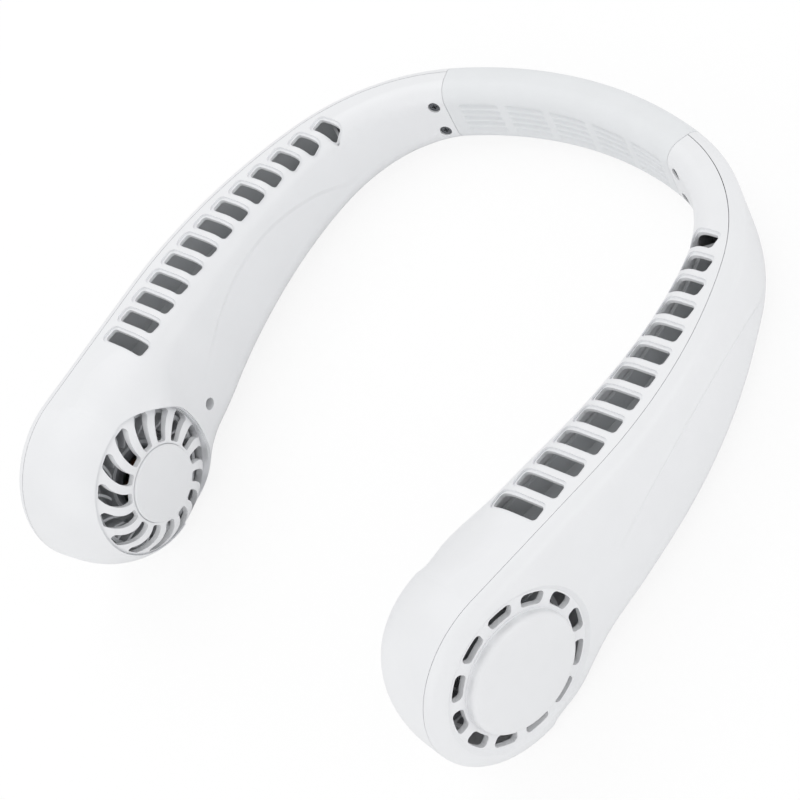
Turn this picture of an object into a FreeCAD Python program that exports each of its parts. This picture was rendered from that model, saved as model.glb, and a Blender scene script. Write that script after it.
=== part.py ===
"""Electric neck fan: two blower arms joined by a soft bridge behind the neck.

Body frame: X to the wearer's right as seen from behind the bridge, Y from the fans back to the bridge,
Z up out of the flat outlet strip, with the fan axes at y = 0 and the strip at z = 0. Each arm is worked out
on the +X side along a run, measured on its outer face from the fan axis, a depth inwards from that face and
a height z. At the end the whole object is tilted onto the surface that it stands on.
"""
import FreeCAD, Part
import math
import os

V = FreeCAD.Vector

# Lengths in millimetres, angles in degrees, and counts
SIZES = {
    # plan of an arm's outer face: straight at the fan, a long bend, a shoulder bend, then the bridge
    "fan_side": 91.5,
    "toe_in": 7.6,
    "arm_straight": 47.0,
    "arm_bend": 160.0,
    "arm_turn": 20.0,
    "shoulder_bend": 68.0,
    "shoulder_turn": 69.6,
    # section of an arm at the fan, past the flare and at the bridge
    "end_radius": 30.0,
    "arm_height": 48.0,
    "bridge_height": 23.0,
    "fan_depth": 34.4,
    "arm_depth": 27.5,
    "bridge_depth": 13.3,
    "flare_start": 13.5,
    "flare": 34.0,
    "edge_round": 4.3,
    "fan_roll_in": 24.0,
    "fan_roll_down": 16.8,
    "arm_roll_in": 10.5,
    "arm_roll_down": 8.5,
    "bridge_roll_in": 6.0,
    "bridge_roll_down": 6.0,
    "wall": 1.8,
    "seam_depth": 3.9,
    "seam_gap": 0.2,
    "top_skim": 0.02,
    "overrun": 2.0,
    # soft step that arches along both faces of an arm
    "crease_depth": 0.9,
    "crease_band": 2.0,
    "crease_middle": 88.0,
    "crease_half": 52.0,
    "crease_drop": 15.0,
    "outer_crease_top": 12.8,
    "inner_crease_top": 9.9,
    "crease_fade": 22.0,
    "crease_margin": 1.0,
    # outlet slots
    "slot_count": 13,
    "slot_first": 30.5,
    "slot_pitch": 8.0,
    "slot_width": 4.8,
    "slot_corner": 1.2,
    "slot_edge": 7.6,
    "slot_wrap": 6.0,
    "slot_wrap_last": 1.5,
    "slot_drop": 9.0,
    "slot_frame": 0.9,
    "slot_frame_sink": 0.7,
    # intake ring and cap on the outer cover
    "ring_mouth": 25.0,
    "ring_outer": 23.6,
    "ring_inner": 18.6,
    "ring_sink": 0.8,
    "ring_plate": 1.8,
    "ring_plate_rim": 1.6,
    "ring_slot_outer": 23.2,
    "ring_slot_inner": 19.4,
    "ring_slot_count": 12,
    "ring_slot_corner": 1.4,
    "ring_turn": 9.0,
    "spoke_width": 3.3,
    "cap_radius": 18.2,
    "cap_proud": 2.3,
    "cap_seat": 0.4,
    "cap_round": 1.6,
    "cap_clearance": 0.2,
    # grille and its cap on the inner shell
    "grille_outer": 23.4,
    "grille_hub": 13.2,
    "grille_sink": 0.6,
    "grille_lap": 0.9,
    "grille_rim": 0.5,
    "grille_reach": 11.0,
    "grille_count": 15,
    "grille_turn": 7.6,
    "grille_corner": 0.9,
    "vane_width": 2.2,
    "vane_sweep": 13.0,
    "vane_bow": 5.0,
    "grille_cap_radius": 12.3,
    "grille_cap_seat": 0.7,
    "grille_cap_proud": 0.8,
    "grille_cap_chamfer": 0.3,
    # blower motor
    "shaft_radius": 1.0,
    "shaft_fit": 0.03,
    "bush_outer": 2.6,
    "bush_length": 13.0,
    "post_outer": 4.0,
    "post_length": 15.0,
    "base_radius": 10.5,
    "base_plate": 1.5,
    "board_plate": 1.0,
    "board_radius": 9.8,
    "board_clearance": 0.2,
    "stator_outer": 8.3,
    "stator_length": 7.0,
    "stator_lift": 5.0,
    "stator_core": 5.4,
    "tooth_count": 6,
    "tooth_width": 1.6,
    "tooth_head": 1.1,
    "tooth_head_width": 5.6,
    "winding_build": 1.0,
    "winding_gap": 0.05,
    "air_gap": 0.4,
    "magnet_wall": 0.9,
    "magnet_length": 8.5,
    "can_wall": 0.8,
    "can_length": 13.0,
    "can_gap": 0.6,
    # impeller
    "impeller_radius": 21.8,
    "blade_inner": 15.2,
    "blade_count": 28,
    "blade_wall": 0.9,
    "blade_sweep": 12.0,
    "blade_bow": 0.9,
    "impeller_length": 18.6,
    "impeller_ring": 1.2,
    "hub_wall": 1.2,
    "hub_length": 11.0,
    "web_plate": 1.2,
    "web_lift": 4.0,
    # air duct
    "duct_wall": 1.2,
    "duct_gap": 0.3,
    "duct_floor": 16.0,
    "duct_start": 27.0,
    "duct_end": 138.0,
    # battery
    "battery_length": 44.0,
    "battery_height": 13.0,
    "battery_depth": 11.0,
    "battery_round": 1.2,
    "battery_run": 80.0,
    # screws and their bosses
    "screw_radius": 0.95,
    "screw_head_radius": 1.75,
    "screw_head": 1.3,
    "screw_length": 4.5,
    "screw_fit": 0.05,
    "screw_recess_radius": 2.0,
    "boss_radius": 3.1,
    "boss_floor": 1.5,
    "boss_gap": 0.2,
    "arm_screw_run": 33.0,
    "arm_screw_drop": 33.7,
    "arm_screw_recess": 9.0,
    "end_screw_back": 4.9,
    "end_screw_drop": 6.4,
    "end_screw_pitch": 10.4,
    "end_screw_recess": 1.8,
    "driver_slot": 0.5,
    # bridge
    "joint_gap": 0.15,
    "plug_length": 13.0,
    "plug_fit": 0.3,
    "strip_wall": 0.6,
    "strip_height": 11.0,
    "strip_drop": 4.6,
    "strip_depth": 8.0,
    "strip_reach": 3.4,
    "strip_fit": 0.25,
    "wire_radius": 1.0,
    "wire_drop": 18.6,
    "wire_depth": 5.2,
    "wire_fit": 0.3,
    "wire_gap": 0.3,
    "groove_groups": 5,
    "groove_rows": 5,
    "groove_pitch": 2.45,
    "groove_width": 1.2,
    "groove_sink": 0.9,
    "groove_drop": 6.8,
    "groove_group_pitch": 7.6,
    "groove_group_span": 6.1,
    "flex_angle": 11.0,
    # controls in the left arm
    "control_run": 46.0,
    "button_drop": 26.0,
    "button_radius": 4.8,
    "button_proud": 0.8,
    "button_flange": 6.2,
    "button_flange_plate": 1.0,
    "button_round": 0.5,
    "button_fit": 0.3,
    "button_travel": 0.5,
    "button_rest_gap": 0.1,
    "control_length": 14.0,
    "control_height": 20.2,
    "control_plate": 1.2,
    "control_shift": 2.0,
    "control_drop": 31.1,
    "control_depth": 5.8,
    "post_radius": 1.4,
    "post_inset": 1.4,
    "switch_side": 6.0,
    "switch_body": 1.6,
    "plunger_radius": 1.6,
    "lens_radius": 0.8,
    "lens_fit": 0.05,
    "lens_count": 3,
    "lens_pitch": 2.6,
    "lens_drop": 34.5,
    "socket_width": 8.94,
    "socket_thick": 3.26,
    "socket_length": 7.3,
    "socket_wall": 0.3,
    "socket_sink": 0.8,
    "socket_fit": 0.25,
    "tongue_width": 6.7,
    "tongue_thick": 0.7,
    "tongue_length": 4.4,
}

# Stations of the lofts along one arm, and of the short end plug
ARM_STATIONS = 19
PLUG_STATIONS = 4
QUARTER_WEIGHT = math.sqrt(0.5)
FULL_TURN = 360
FRONT_HALF = -180

doc = FreeCAD.newDocument("neck_fan")


def make_sheet():
    """Put every driving size in the sheet under its own alias."""
    sheet = doc.addObject("Spreadsheet::Sheet", "Sizes")
    for row, (alias, value) in enumerate(SIZES.items(), start=1):
        sheet.set(f"A{row}", alias)
        sheet.set(f"B{row}", str(value))
        sheet.setAlias(f"B{row}", alias)
    doc.recompute()
    return sheet


class SheetSizes:
    """Sizes read back from the sheet by name."""

    def __init__(self, sheet):
        for alias in SIZES:
            setattr(self, alias, float(sheet.get(alias)))


S = SheetSizes(make_sheet())


# Plan and section of an arm

def bends():
    """Radius and final heading of each bend of the outer face, from the fan to the middle of the bridge."""
    return (
        (S.arm_bend, math.radians(S.arm_turn)),
        (S.shoulder_bend, math.radians(S.shoulder_turn)),
    )


def follow(run, stages):
    """Walk the outer face's plan by run and return x, y and heading from +Y towards -X."""
    heading = -math.radians(S.toe_in)
    straight = min(run, S.arm_straight)
    x = S.fan_side - straight * math.sin(heading)
    y = straight * math.cos(heading)
    left = run - S.arm_straight
    for radius, last in stages:
        if left <= 0:
            break
        turned = min(left / radius, last - heading)
        x += radius * (math.cos(heading + turned) - math.cos(heading))
        y += radius * (math.sin(heading + turned) - math.sin(heading))
        heading += turned
        left -= radius * turned
    return x, y, heading


def break_runs():
    """Runs where the plan changes its curve."""
    runs = [S.arm_straight]
    heading = -math.radians(S.toe_in)
    for radius, last in bends():
        runs.append(runs[-1] + radius * (last - heading))
        heading = last
    return runs


ARM_RUN = break_runs()[-1]
END_X, END_Y, END_HEADING = follow(ARM_RUN, bends())
BRIDGE_BEND = END_X / math.cos(END_HEADING)
BRIDGE_CENTRE = END_Y - BRIDGE_BEND * math.sin(END_HEADING)
BRIDGE_HALF = math.pi / 2 - END_HEADING


def outer_point(run):
    """Plan point and heading of the outer face, on past the arm into the bridge."""
    return follow(run, bends() + ((BRIDGE_BEND, math.pi / 2),))


def plan_point(run, depth, z=0.0):
    """Point at a depth inside the outer face."""
    x, y, heading = outer_point(run)
    return V(x - depth * math.cos(heading), y - depth * math.sin(heading), z)


def ease(share):
    """Smooth step from 0 to 1."""
    share = min(max(share, 0.0), 1.0)
    return share * share * (3 - 2 * share)


def along(run, fan, arm, bridge):
    """Blend a section size from the fan through the flare to the bridge."""
    taper = ease((run - S.flare) / (ARM_RUN - S.flare))
    flare = ease((run - S.flare_start) / (S.flare - S.flare_start))
    return bridge + (arm - bridge) * (1 - taper) + (fan - arm) * (1 - flare)


def depth_at(run):
    """Thickness of the arm, from the outer to the inner face."""
    return along(run, S.fan_depth, S.arm_depth, S.bridge_depth)


def height_at(run):
    """Height of the arm: a straight taper in side view, rounded into the fan end."""
    y_flare = outer_point(S.flare)[1]
    slope = (S.arm_height - S.bridge_height) / (END_Y - y_flare)
    if run >= S.flare:
        return max(S.arm_height - slope * (outer_point(run)[1] - y_flare), S.bridge_height)
    share = run / S.flare
    step = ease(share)
    lead = slope * S.flare * (share * share - share**3)
    return 2 * S.end_radius * (1 - step) + S.arm_height * step + lead


def crease_at(run, top, lowest):
    """Height and depth of the soft step on a face."""
    reach = (run - S.crease_middle) / S.crease_half
    z = max(-top - S.crease_drop * reach * reach, lowest)
    start = S.crease_middle - S.crease_half
    stop = S.crease_middle + S.crease_half
    fade = ease((run - start) / S.crease_fade) * ease((stop - run) / S.crease_fade)
    return z, S.crease_depth * fade


def quarter(first, corner, last):
    """Quarter of an ellipse between two tangent points."""
    curve = Part.BezierCurve()
    curve.setPoles([first, corner, last])
    curve.setWeight(2, QUARTER_WEIGHT)
    return curve.toShape()


def line(first, last):
    """Straight edge."""
    return Part.makeLine(first, last)


def section_wire(run, inset=0.0, creased=False):
    """Closed section of an arm at a run, drawn in by inset on every side."""
    depth, height = depth_at(run), height_at(run)
    near, far = inset, depth - inset
    top, low = -inset, inset - height
    edge = S.edge_round - inset
    roll_in = along(run, S.fan_roll_in, S.arm_roll_in, S.bridge_roll_in) - inset
    roll_down = along(run, S.fan_roll_down, S.arm_roll_down, S.bridge_roll_down) - inset

    def at(d, z):
        return plan_point(run, d, z)

    step_in = step_out = 0.0
    if creased:
        inner_low = low + roll_down + S.crease_band + S.crease_margin
        outer_low = low + edge + S.crease_band + S.crease_margin
        inner_z, step_in = crease_at(run, S.inner_crease_top, inner_low)
        outer_z, step_out = crease_at(run, S.outer_crease_top, outer_low)
    foot_in, foot_out = far - step_in, near + step_out
    edges = [
        line(at(near + edge, top), at(far - roll_in, top)),
        quarter(at(far - roll_in, top), at(far, top), at(far, top - roll_down)),
    ]
    if creased:
        edges += [
            line(at(far, top - roll_down), at(far, inner_z)),
            line(at(far, inner_z), at(foot_in, inner_z - S.crease_band)),
            line(at(foot_in, inner_z - S.crease_band), at(foot_in, low + roll_down)),
        ]
    else:
        edges.append(line(at(far, top - roll_down), at(far, low + roll_down)))
    edges += [
        quarter(at(foot_in, low + roll_down), at(foot_in, low), at(far - roll_in, low)),
        line(at(far - roll_in, low), at(near + edge, low)),
        quarter(at(near + edge, low), at(foot_out, low), at(foot_out, low + edge)),
    ]
    if creased:
        edges += [
            line(at(foot_out, low + edge), at(foot_out, outer_z - S.crease_band)),
            line(at(foot_out, outer_z - S.crease_band), at(near, outer_z)),
            line(at(near, outer_z), at(near, top - edge)),
        ]
    else:
        edges.append(line(at(near, low + edge), at(near, top - edge)))
    edges.append(quarter(at(near, top - edge), at(near, top), at(near + edge, top)))
    return Part.Wire(edges)


def stations(first, last, count):
    """Evenly spaced runs, both ends included."""
    return [first + (last - first) * index / (count - 1) for index in range(count)]


def fan_drum(inset, turn):
    """Upper half of the fan section turned about the fan axis."""
    near, far = inset, S.fan_depth - inset
    edge, roll_in = S.edge_round - inset, S.fan_roll_in - inset
    roll_down = S.fan_roll_down - inset

    def at(d, z):
        return plan_point(0, d, z)

    axis = -S.end_radius
    edges = [
        line(at(near, axis), at(near, -inset - edge)),
        quarter(at(near, -inset - edge), at(near, -inset), at(near + edge, -inset)),
        line(at(near + edge, -inset), at(far - roll_in, -inset)),
        quarter(at(far - roll_in, -inset), at(far, -inset), at(far, -inset - roll_down)),
        line(at(far, -inset - roll_down), at(far, axis)),
        line(at(far, axis), at(near, axis)),
    ]
    profile = Part.Face(Part.Wire(edges))
    inward = plan_point(0, S.fan_depth) - plan_point(0, 0)
    return profile.revolve(at(0, axis), inward, turn)


def arm_solid(inset=0.0, creased=False, past=0.0):
    """Whole arm, or the hollow inside it when drawn in by the wall."""
    runs = stations(0, ARM_RUN + past, ARM_STATIONS)
    body = Part.makeLoft([section_wire(run, inset, creased) for run in runs], True, False)
    return fan_drum(inset, FRONT_HALF).fuse(body)


def plan_edges(depth, first, last):
    """Line and arcs of the plan at a depth, from run to run."""
    cuts = [first] + [run for run in break_runs() if first < run < last] + [last]
    edges = []
    for start, stop in zip(cuts, cuts[1:]):
        ends = plan_point(start, depth), plan_point(stop, depth)
        if stop <= S.arm_straight:
            edges.append(line(*ends))
        else:
            middle = plan_point((start + stop) / 2, depth)
            edges.append(Part.Arc(ends[0], middle, ends[1]).toShape())
    return edges


def plan_prism(near, far, first, last, low, high):
    """Upright solid between two depths of the plan."""
    inner, outer = plan_edges(near, first, last), plan_edges(far, first, last)
    closing = [
        line(plan_point(first, near), plan_point(first, far)),
        line(plan_point(last, near), plan_point(last, far)),
    ]
    wire = Part.Wire(Part.__sortEdges__(inner + outer + closing))
    solid = Part.Face(wire).extrude(V(0, 0, high - low))
    solid.translate(V(0, 0, low))
    return solid


def frame_at(run, z):
    """Placement with local x up, y along the arm and z inwards from the outer face."""
    x, y, heading = outer_point(run)
    c, s = math.cos(heading), math.sin(heading)
    matrix = FreeCAD.Matrix(0, -s, -c, x, 0, c, -s, y, 1, 0, 0, z, 0, 0, 0, 1)
    return FreeCAD.Placement(matrix)


def seated(shape, frame):
    """Move a locally drawn shape into a frame."""
    shape.Placement = frame.multiply(shape.Placement)
    return shape


def rod(radius, first, last, frame):
    """Cylinder along the depth of a frame."""
    return seated(Part.makeCylinder(radius, last - first, V(0, 0, first)), frame)


def slab(up, run_length, first, last, frame):
    """Block centred on a frame's depth axis."""
    return seated(Part.makeBox(up, run_length, last - first, V(-up / 2, -run_length / 2, first)), frame)


FAN = frame_at(0, -S.end_radius)
GRILLE_FACE = S.fan_depth - S.grille_sink


# Shells of an arm

def rounded_uprights(solid, radius):
    """Solid with its upright edges rounded."""
    upright = [edge for edge in solid.Edges if abs(edge.tangentAt(edge.FirstParameter).z) > QUARTER_WEIGHT]
    return solid.makeFillet(radius, upright)


def slot_cutter(index, grow=0.0):
    """Cutter for one outlet slot, straight across the top strip and over its rolled inner edge."""
    y = S.slot_first + index * S.slot_pitch

    def x_at(depth_of):
        low, high = 0.0, ARM_RUN
        while high - low > S.top_skim:
            middle = (low + high) / 2
            point = plan_point(middle, depth_of(middle))
            low, high = (middle, high) if point.y < y else (low, middle)
        return plan_point(low, depth_of(low)).x

    wrap = S.slot_wrap + (S.slot_wrap_last - S.slot_wrap) * index / (S.slot_count - 1)
    right = x_at(lambda run: S.slot_edge)
    left = x_at(lambda run: depth_at(run) - wrap)
    corner = V(left - grow, y - S.slot_width / 2 - grow, -S.slot_drop)
    block = Part.makeBox(right - left + 2 * grow, S.slot_width + 2 * grow, S.slot_drop + S.overrun, corner)
    return rounded_uprights(block, S.slot_corner + grow)


def polar(radius, degrees, depth=0.0):
    """Point of the fan frame at an angle from up towards the bridge."""
    angle = math.radians(degrees)
    return V(radius * math.cos(angle), radius * math.sin(angle), depth)


def arc_edge(first, middle, last):
    """Circular edge through three points."""
    return Part.Arc(first, middle, last).toShape()


def grille_cutter(index):
    """Cutter for the opening between two curved vanes."""
    pitch = 360 / S.grille_count
    start = S.grille_turn + index * pitch
    hub_part = math.degrees(S.vane_width / S.grille_hub)
    rim = S.grille_outer - S.grille_rim
    rim_part = math.degrees(S.vane_width / rim)
    middle_radius = (S.grille_hub + rim) / 2

    def bowed(first, sweep):
        return polar(middle_radius, first + sweep / 2 - S.vane_bow)

    inner = polar(S.grille_hub, start), polar(S.grille_hub, start + pitch - hub_part)
    outer_start = start + S.vane_sweep
    outer = polar(rim, outer_start), polar(rim, outer_start + pitch - rim_part)
    edges = [
        arc_edge(inner[0], polar(S.grille_hub, start + (pitch - hub_part) / 2), inner[1]),
        arc_edge(inner[1], bowed(start + pitch - hub_part, S.vane_sweep), outer[1]),
        arc_edge(outer[1], polar(rim, outer_start + (pitch - rim_part) / 2), outer[0]),
        arc_edge(outer[0], bowed(start, S.vane_sweep), inner[0]),
    ]
    cutter = Part.Face(Part.Wire(edges)).extrude(V(0, 0, S.grille_reach + S.overrun))
    cutter.translate(V(0, 0, S.fan_depth - S.grille_reach))
    return seated(rounded_uprights(cutter, S.grille_corner), FAN)


def grille():
    """Domed grille with its hub, vanes and the collar that joins it to the shell."""
    low = S.fan_depth - S.grille_reach
    lapped = rod(S.grille_outer + S.grille_lap, low, S.fan_depth, FAN)
    dome = fan_drum(S.grille_sink, FULL_TURN).cut(fan_drum(S.grille_sink + S.wall, FULL_TURN))
    collar = lapped.cut(rod(S.grille_outer, low, S.fan_depth, FAN)).common(arm_solid(S.wall / 2))
    cutters = [grille_cutter(index) for index in range(int(S.grille_count))]
    seat = GRILLE_FACE - S.grille_cap_seat
    cutters.append(rod(S.grille_cap_radius + S.cap_clearance, seat, S.fan_depth, FAN))
    return dome.common(lapped).cut(cutters).fuse(collar)


def ring_cutter(index):
    """Cutter for one intake slot of the ring on the outer cover."""
    pitch = 360 / S.ring_slot_count
    middle = S.ring_turn + index * pitch
    half_out = pitch / 2 - math.degrees(S.spoke_width / 2 / S.ring_slot_outer)
    half_in = pitch / 2 - math.degrees(S.spoke_width / 2 / S.ring_slot_inner)
    outer = [polar(S.ring_slot_outer, middle + turn) for turn in (-half_out, 0, half_out)]
    inner = [polar(S.ring_slot_inner, middle + turn) for turn in (half_in, 0, -half_in)]
    edges = [arc_edge(*outer), line(outer[2], inner[0]), arc_edge(*inner), line(inner[2], outer[0])]
    cutter = Part.Face(Part.Wire(edges)).extrude(V(0, 0, S.ring_sink + S.ring_plate + S.overrun))
    return seated(rounded_uprights(cutter, S.ring_slot_corner), FAN)


def screw_places():
    """Run, height and recess of each screw of an arm."""
    end_run = ARM_RUN - S.end_screw_back
    return (
        (S.arm_screw_run, -S.arm_screw_drop, S.arm_screw_recess),
        (end_run, -S.end_screw_drop, S.end_screw_recess),
        (end_run, -S.end_screw_drop - S.end_screw_pitch, S.end_screw_recess),
    )


def boss_foot(run, recess):
    """Depth of the open end of a screw boss."""
    return depth_at(run) - recess - S.boss_floor


def control_frame(z, shift=0.0):
    """Frame on the outer face by the controls, shifted along the arm."""
    return frame_at(S.control_run, z).multiply(FreeCAD.Placement(V(0, shift, 0), FreeCAD.Rotation()))


def socket_frame():
    """Frame of the charging socket: behind the control board, on the underside of the arm."""
    floor = height_at(S.control_run + S.control_shift)
    return control_frame(S.socket_sink - floor, S.control_shift)


def socket_block(grow, low, high):
    """Rounded block of the socket's outline, grown on all sides."""
    near = S.control_depth + S.control_plate
    thick, width = S.socket_thick + 2 * grow, S.socket_width + 2 * grow
    block = Part.makeBox(high - low, width, thick, V(low, -width / 2, near - grow))
    long_edges = [edge for edge in block.Edges if abs(edge.tangentAt(edge.FirstParameter).x) > QUARTER_WEIGHT]
    block = block.makeFillet((thick - S.socket_wall) / 2, long_edges)
    return seated(block, socket_frame())


def arm_blanks():
    """Solid arm, trimmed flat on top, and the hollow inside it."""
    body = arm_solid(creased=True)
    lid = Part.makeBox(*[4 * ARM_RUN] * 3, V(-2 * ARM_RUN, -2 * ARM_RUN, -S.top_skim))
    return body.cut(lid), arm_solid(inset=S.wall, past=S.overrun)


def seam_prism(depth):
    """Everything on the outer side of a depth."""
    return plan_prism(
        -S.overrun, depth, -S.end_radius - S.overrun, ARM_RUN + S.overrun,
        -2 * S.end_radius - S.overrun, S.overrun)


def inner_shell(body, hollow):
    """Neck side of an arm with its slots, grille and screw bosses."""
    shell = body.cut(hollow).cut(seam_prism(S.seam_depth + S.seam_gap))
    mouth = S.grille_outer + S.grille_lap / 2
    shell = shell.cut(rod(mouth, S.fan_depth - S.grille_reach, S.fan_depth + S.overrun, FAN))
    bosses = []
    slots = range(int(S.slot_count))
    below = arm_solid(S.slot_frame_sink)
    shell = shell.cut([slot_cutter(index, S.slot_frame).cut(below) for index in slots])
    cutters = [slot_cutter(index) for index in slots]
    for run, z, recess in screw_places():
        frame = frame_at(run, z)
        far = depth_at(run)
        bosses.append(rod(S.boss_radius, boss_foot(run, recess), far - S.wall / 2, frame))
        cutters.append(rod(S.screw_recess_radius, far - recess, far + S.overrun, frame))
        cutters.append(rod(S.screw_radius + S.screw_fit, 0, far, frame))
    bosses = [boss.common(body) for boss in bosses]
    return shell.multiFuse(bosses + [grille()]).cut(cutters)


def socket_opening():
    """Cutter for the opening of the charging socket."""
    return socket_block(S.socket_fit, -S.socket_sink - S.overrun, S.socket_length)


def control_posts():
    """Frames of the posts that carry the control board."""
    up = S.control_height / 2 - S.post_inset
    out = S.control_length / 2 - S.post_inset
    return [control_frame(turn * up - S.control_drop, S.control_shift + turn * out) for turn in (-1, 1)]


def lens_frames():
    """Frames of the indicator lenses, in a row under the button."""
    return [control_frame(-S.lens_drop - index * S.lens_pitch) for index in range(int(S.lens_count))]


def outer_cover(body, hollow, controls):
    """Outer side of an arm with its intake ring and screw boss."""
    plate = rod(S.ring_mouth + S.ring_plate_rim, S.wall / 2, S.ring_sink + S.ring_plate, FAN)
    run, z, screw_recess = screw_places()[0]
    frame = frame_at(run, z)
    solids = [plate, rod(S.boss_radius, S.wall / 2, boss_foot(run, screw_recess) - S.boss_gap, frame)]
    flare = S.overrun * (S.ring_mouth - S.ring_outer) / S.ring_sink
    bowl = Part.makeCone(S.ring_mouth + flare, S.ring_outer, S.ring_sink + S.overrun, V(0, 0, -S.overrun))
    platform = rod(S.ring_inner, S.cap_seat, S.ring_sink + S.overrun, FAN)
    recess = seated(bowl, FAN).cut(platform)
    cutters = [ring_cutter(index) for index in range(int(S.ring_slot_count))]
    cutters.append(rod(S.screw_radius + S.screw_fit, S.wall, depth_at(run), frame))
    if controls:
        solids += [rod(S.post_radius, S.wall, S.control_depth, post) for post in control_posts()]
        button = control_frame(-S.button_drop)
        cutters.append(rod(S.button_radius + S.button_fit, -S.overrun, S.wall + S.overrun, button))
        cutters += [
            rod(S.lens_radius + S.lens_fit, -S.overrun, S.wall + S.overrun, lens) for lens in lens_frames()
        ]
    shell = body.common(seam_prism(S.seam_depth)).cut(hollow)
    return shell.multiFuse(solids).cut(recess).cut(cutters)


def arm_screws():
    """The three screws of an arm, heads at the bottom of their recesses."""
    solids = []
    for run, z, recess in screw_places():
        frame = frame_at(run, z)
        seat = depth_at(run) - recess
        head = rod(S.screw_head_radius, seat, seat + S.screw_head, frame)
        slot = [
            slab(long, short, seat + S.screw_head - S.driver_slot, seat + S.screw_head + S.overrun, frame)
            for long, short in (
                (2 * S.screw_radius, S.driver_slot), (S.driver_slot, 2 * S.screw_radius))
        ]
        shank = rod(S.screw_radius, seat - S.screw_length, seat, frame)
        solids.append(head.fuse(shank).cut(slot))
    return Part.makeCompound(solids)


# Air duct, wires and bridge

def duct_wire(run, filled=False):
    """Section of the duct: a trough under the slots, or its filled outline."""
    near = S.wall + S.duct_gap
    far = depth_at(run) - S.wall - S.duct_gap
    near_top = -S.edge_round - S.duct_gap
    far_top = -along(run, S.fan_roll_down, S.arm_roll_down, S.bridge_roll_down) - S.duct_gap
    floor = -S.duct_floor
    under = floor - S.duct_wall
    outline = [(near, near_top), (near, under), (far, under), (far, far_top)]
    if not filled:
        outline += [
            (far - S.duct_wall, far_top), (far - S.duct_wall, floor),
            (near + S.duct_wall, floor), (near + S.duct_wall, near_top),
        ]
    points = [plan_point(run, d, z) for d, z in outline]
    return Part.makePolygon(points + points[:1])


def air_duct():
    """Dark trough that carries the air under the slots, closed at the bridge end."""
    runs = stations(S.duct_start, S.duct_end, ARM_STATIONS)
    trough = Part.makeLoft([duct_wire(run) for run in runs], True, False)
    ends = stations(S.duct_end - S.duct_wall, S.duct_end, PLUG_STATIONS)
    stop = Part.makeLoft([duct_wire(run, True) for run in ends], True, False)
    return trough.fuse(stop)


def bridge_ring(wire, first, last):
    """Section drawn at the +X end of the bridge, turned about the bridge's upright axis."""
    face = Part.Face(wire)
    centre = V(0, BRIDGE_CENTRE, 0)
    face.rotate(centre, V(0, 0, 1), math.degrees(first))
    return face.revolve(centre, V(0, 0, 1), math.degrees(last - first))


def end_rectangle(near, far, low, high):
    """Rectangle in the plane of the bridge's +X end."""
    corners = [(near, low), (far, low), (far, high), (near, high)]
    points = [plan_point(ARM_RUN, d, z) for d, z in corners]
    return Part.makePolygon(points + points[:1])


def end_circle(depth, z, radius):
    """Circle in the plane of the bridge's +X end."""
    tangent = V(-math.sin(END_HEADING), math.cos(END_HEADING), 0)
    return Part.Wire(Part.makeCircle(radius, plan_point(ARM_RUN, depth, z), tangent))


def strip_solid(grow):
    """Spring strip through the bridge, grown for its pocket."""
    reach = (S.strip_reach + grow) / (BRIDGE_BEND - S.strip_depth)
    wire = end_rectangle(
        S.strip_depth - S.strip_wall / 2 - grow, S.strip_depth + S.strip_wall / 2 + grow,
        -S.strip_drop - S.strip_height - grow, grow - S.strip_drop)
    return bridge_ring(wire, -reach, 2 * BRIDGE_HALF + reach)


def bridge_wire(grow, reach):
    """Cable through the bridge."""
    turn = reach / (BRIDGE_BEND - S.wire_depth)
    return bridge_ring(
        end_circle(S.wire_depth, -S.wire_drop, S.wire_radius + grow), -turn, 2 * BRIDGE_HALF + turn)


def bridge_grooves():
    """Grooves on the neck side of the bridge."""
    span, pitch = math.radians(S.groove_group_span), math.radians(S.groove_group_pitch)
    cutters = []
    for group in range(int(S.groove_groups)):
        first = BRIDGE_HALF + (group - (S.groove_groups - 1) / 2) * pitch - span / 2
        for row in range(int(S.groove_rows)):
            high = -S.groove_drop - row * S.groove_pitch + S.groove_width / 2
            wire = end_rectangle(
                S.bridge_depth - S.groove_sink, S.bridge_depth + S.overrun, high - S.groove_width, high)
            cutters.append(bridge_ring(wire, first, first + span))
    return cutters


def bridge_sleeve():
    """Soft bridge between the arms, hollow for the strip and the cable."""
    gap = S.joint_gap / BRIDGE_BEND
    sleeve = bridge_ring(section_wire(ARM_RUN), gap, 2 * BRIDGE_HALF - gap)
    return sleeve.cut([strip_solid(S.strip_fit), bridge_wire(S.wire_fit, S.overrun)] + bridge_grooves())


def bridge_plug():
    """Rigid plug in the end of an arm, which holds the strip and the cable."""
    runs = stations(ARM_RUN - S.plug_length, ARM_RUN, PLUG_STATIONS)
    plug = Part.makeLoft([section_wire(run, S.wall + S.plug_fit) for run in runs], True, False)
    cutters = [strip_solid(S.strip_fit), bridge_wire(S.wire_fit, S.plug_length + S.overrun)]
    for run, z, recess in screw_places()[1:]:
        frame = frame_at(run, z)
        cutters.append(rod(S.boss_radius + S.plug_fit, boss_foot(run, recess) - S.boss_gap, S.fan_depth, frame))
        tip = depth_at(run) - recess - S.screw_length - S.boss_gap
        cutters.append(rod(S.screw_radius + S.screw_fit, tip, S.fan_depth, frame))
    return plug.cut(cutters)


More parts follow.
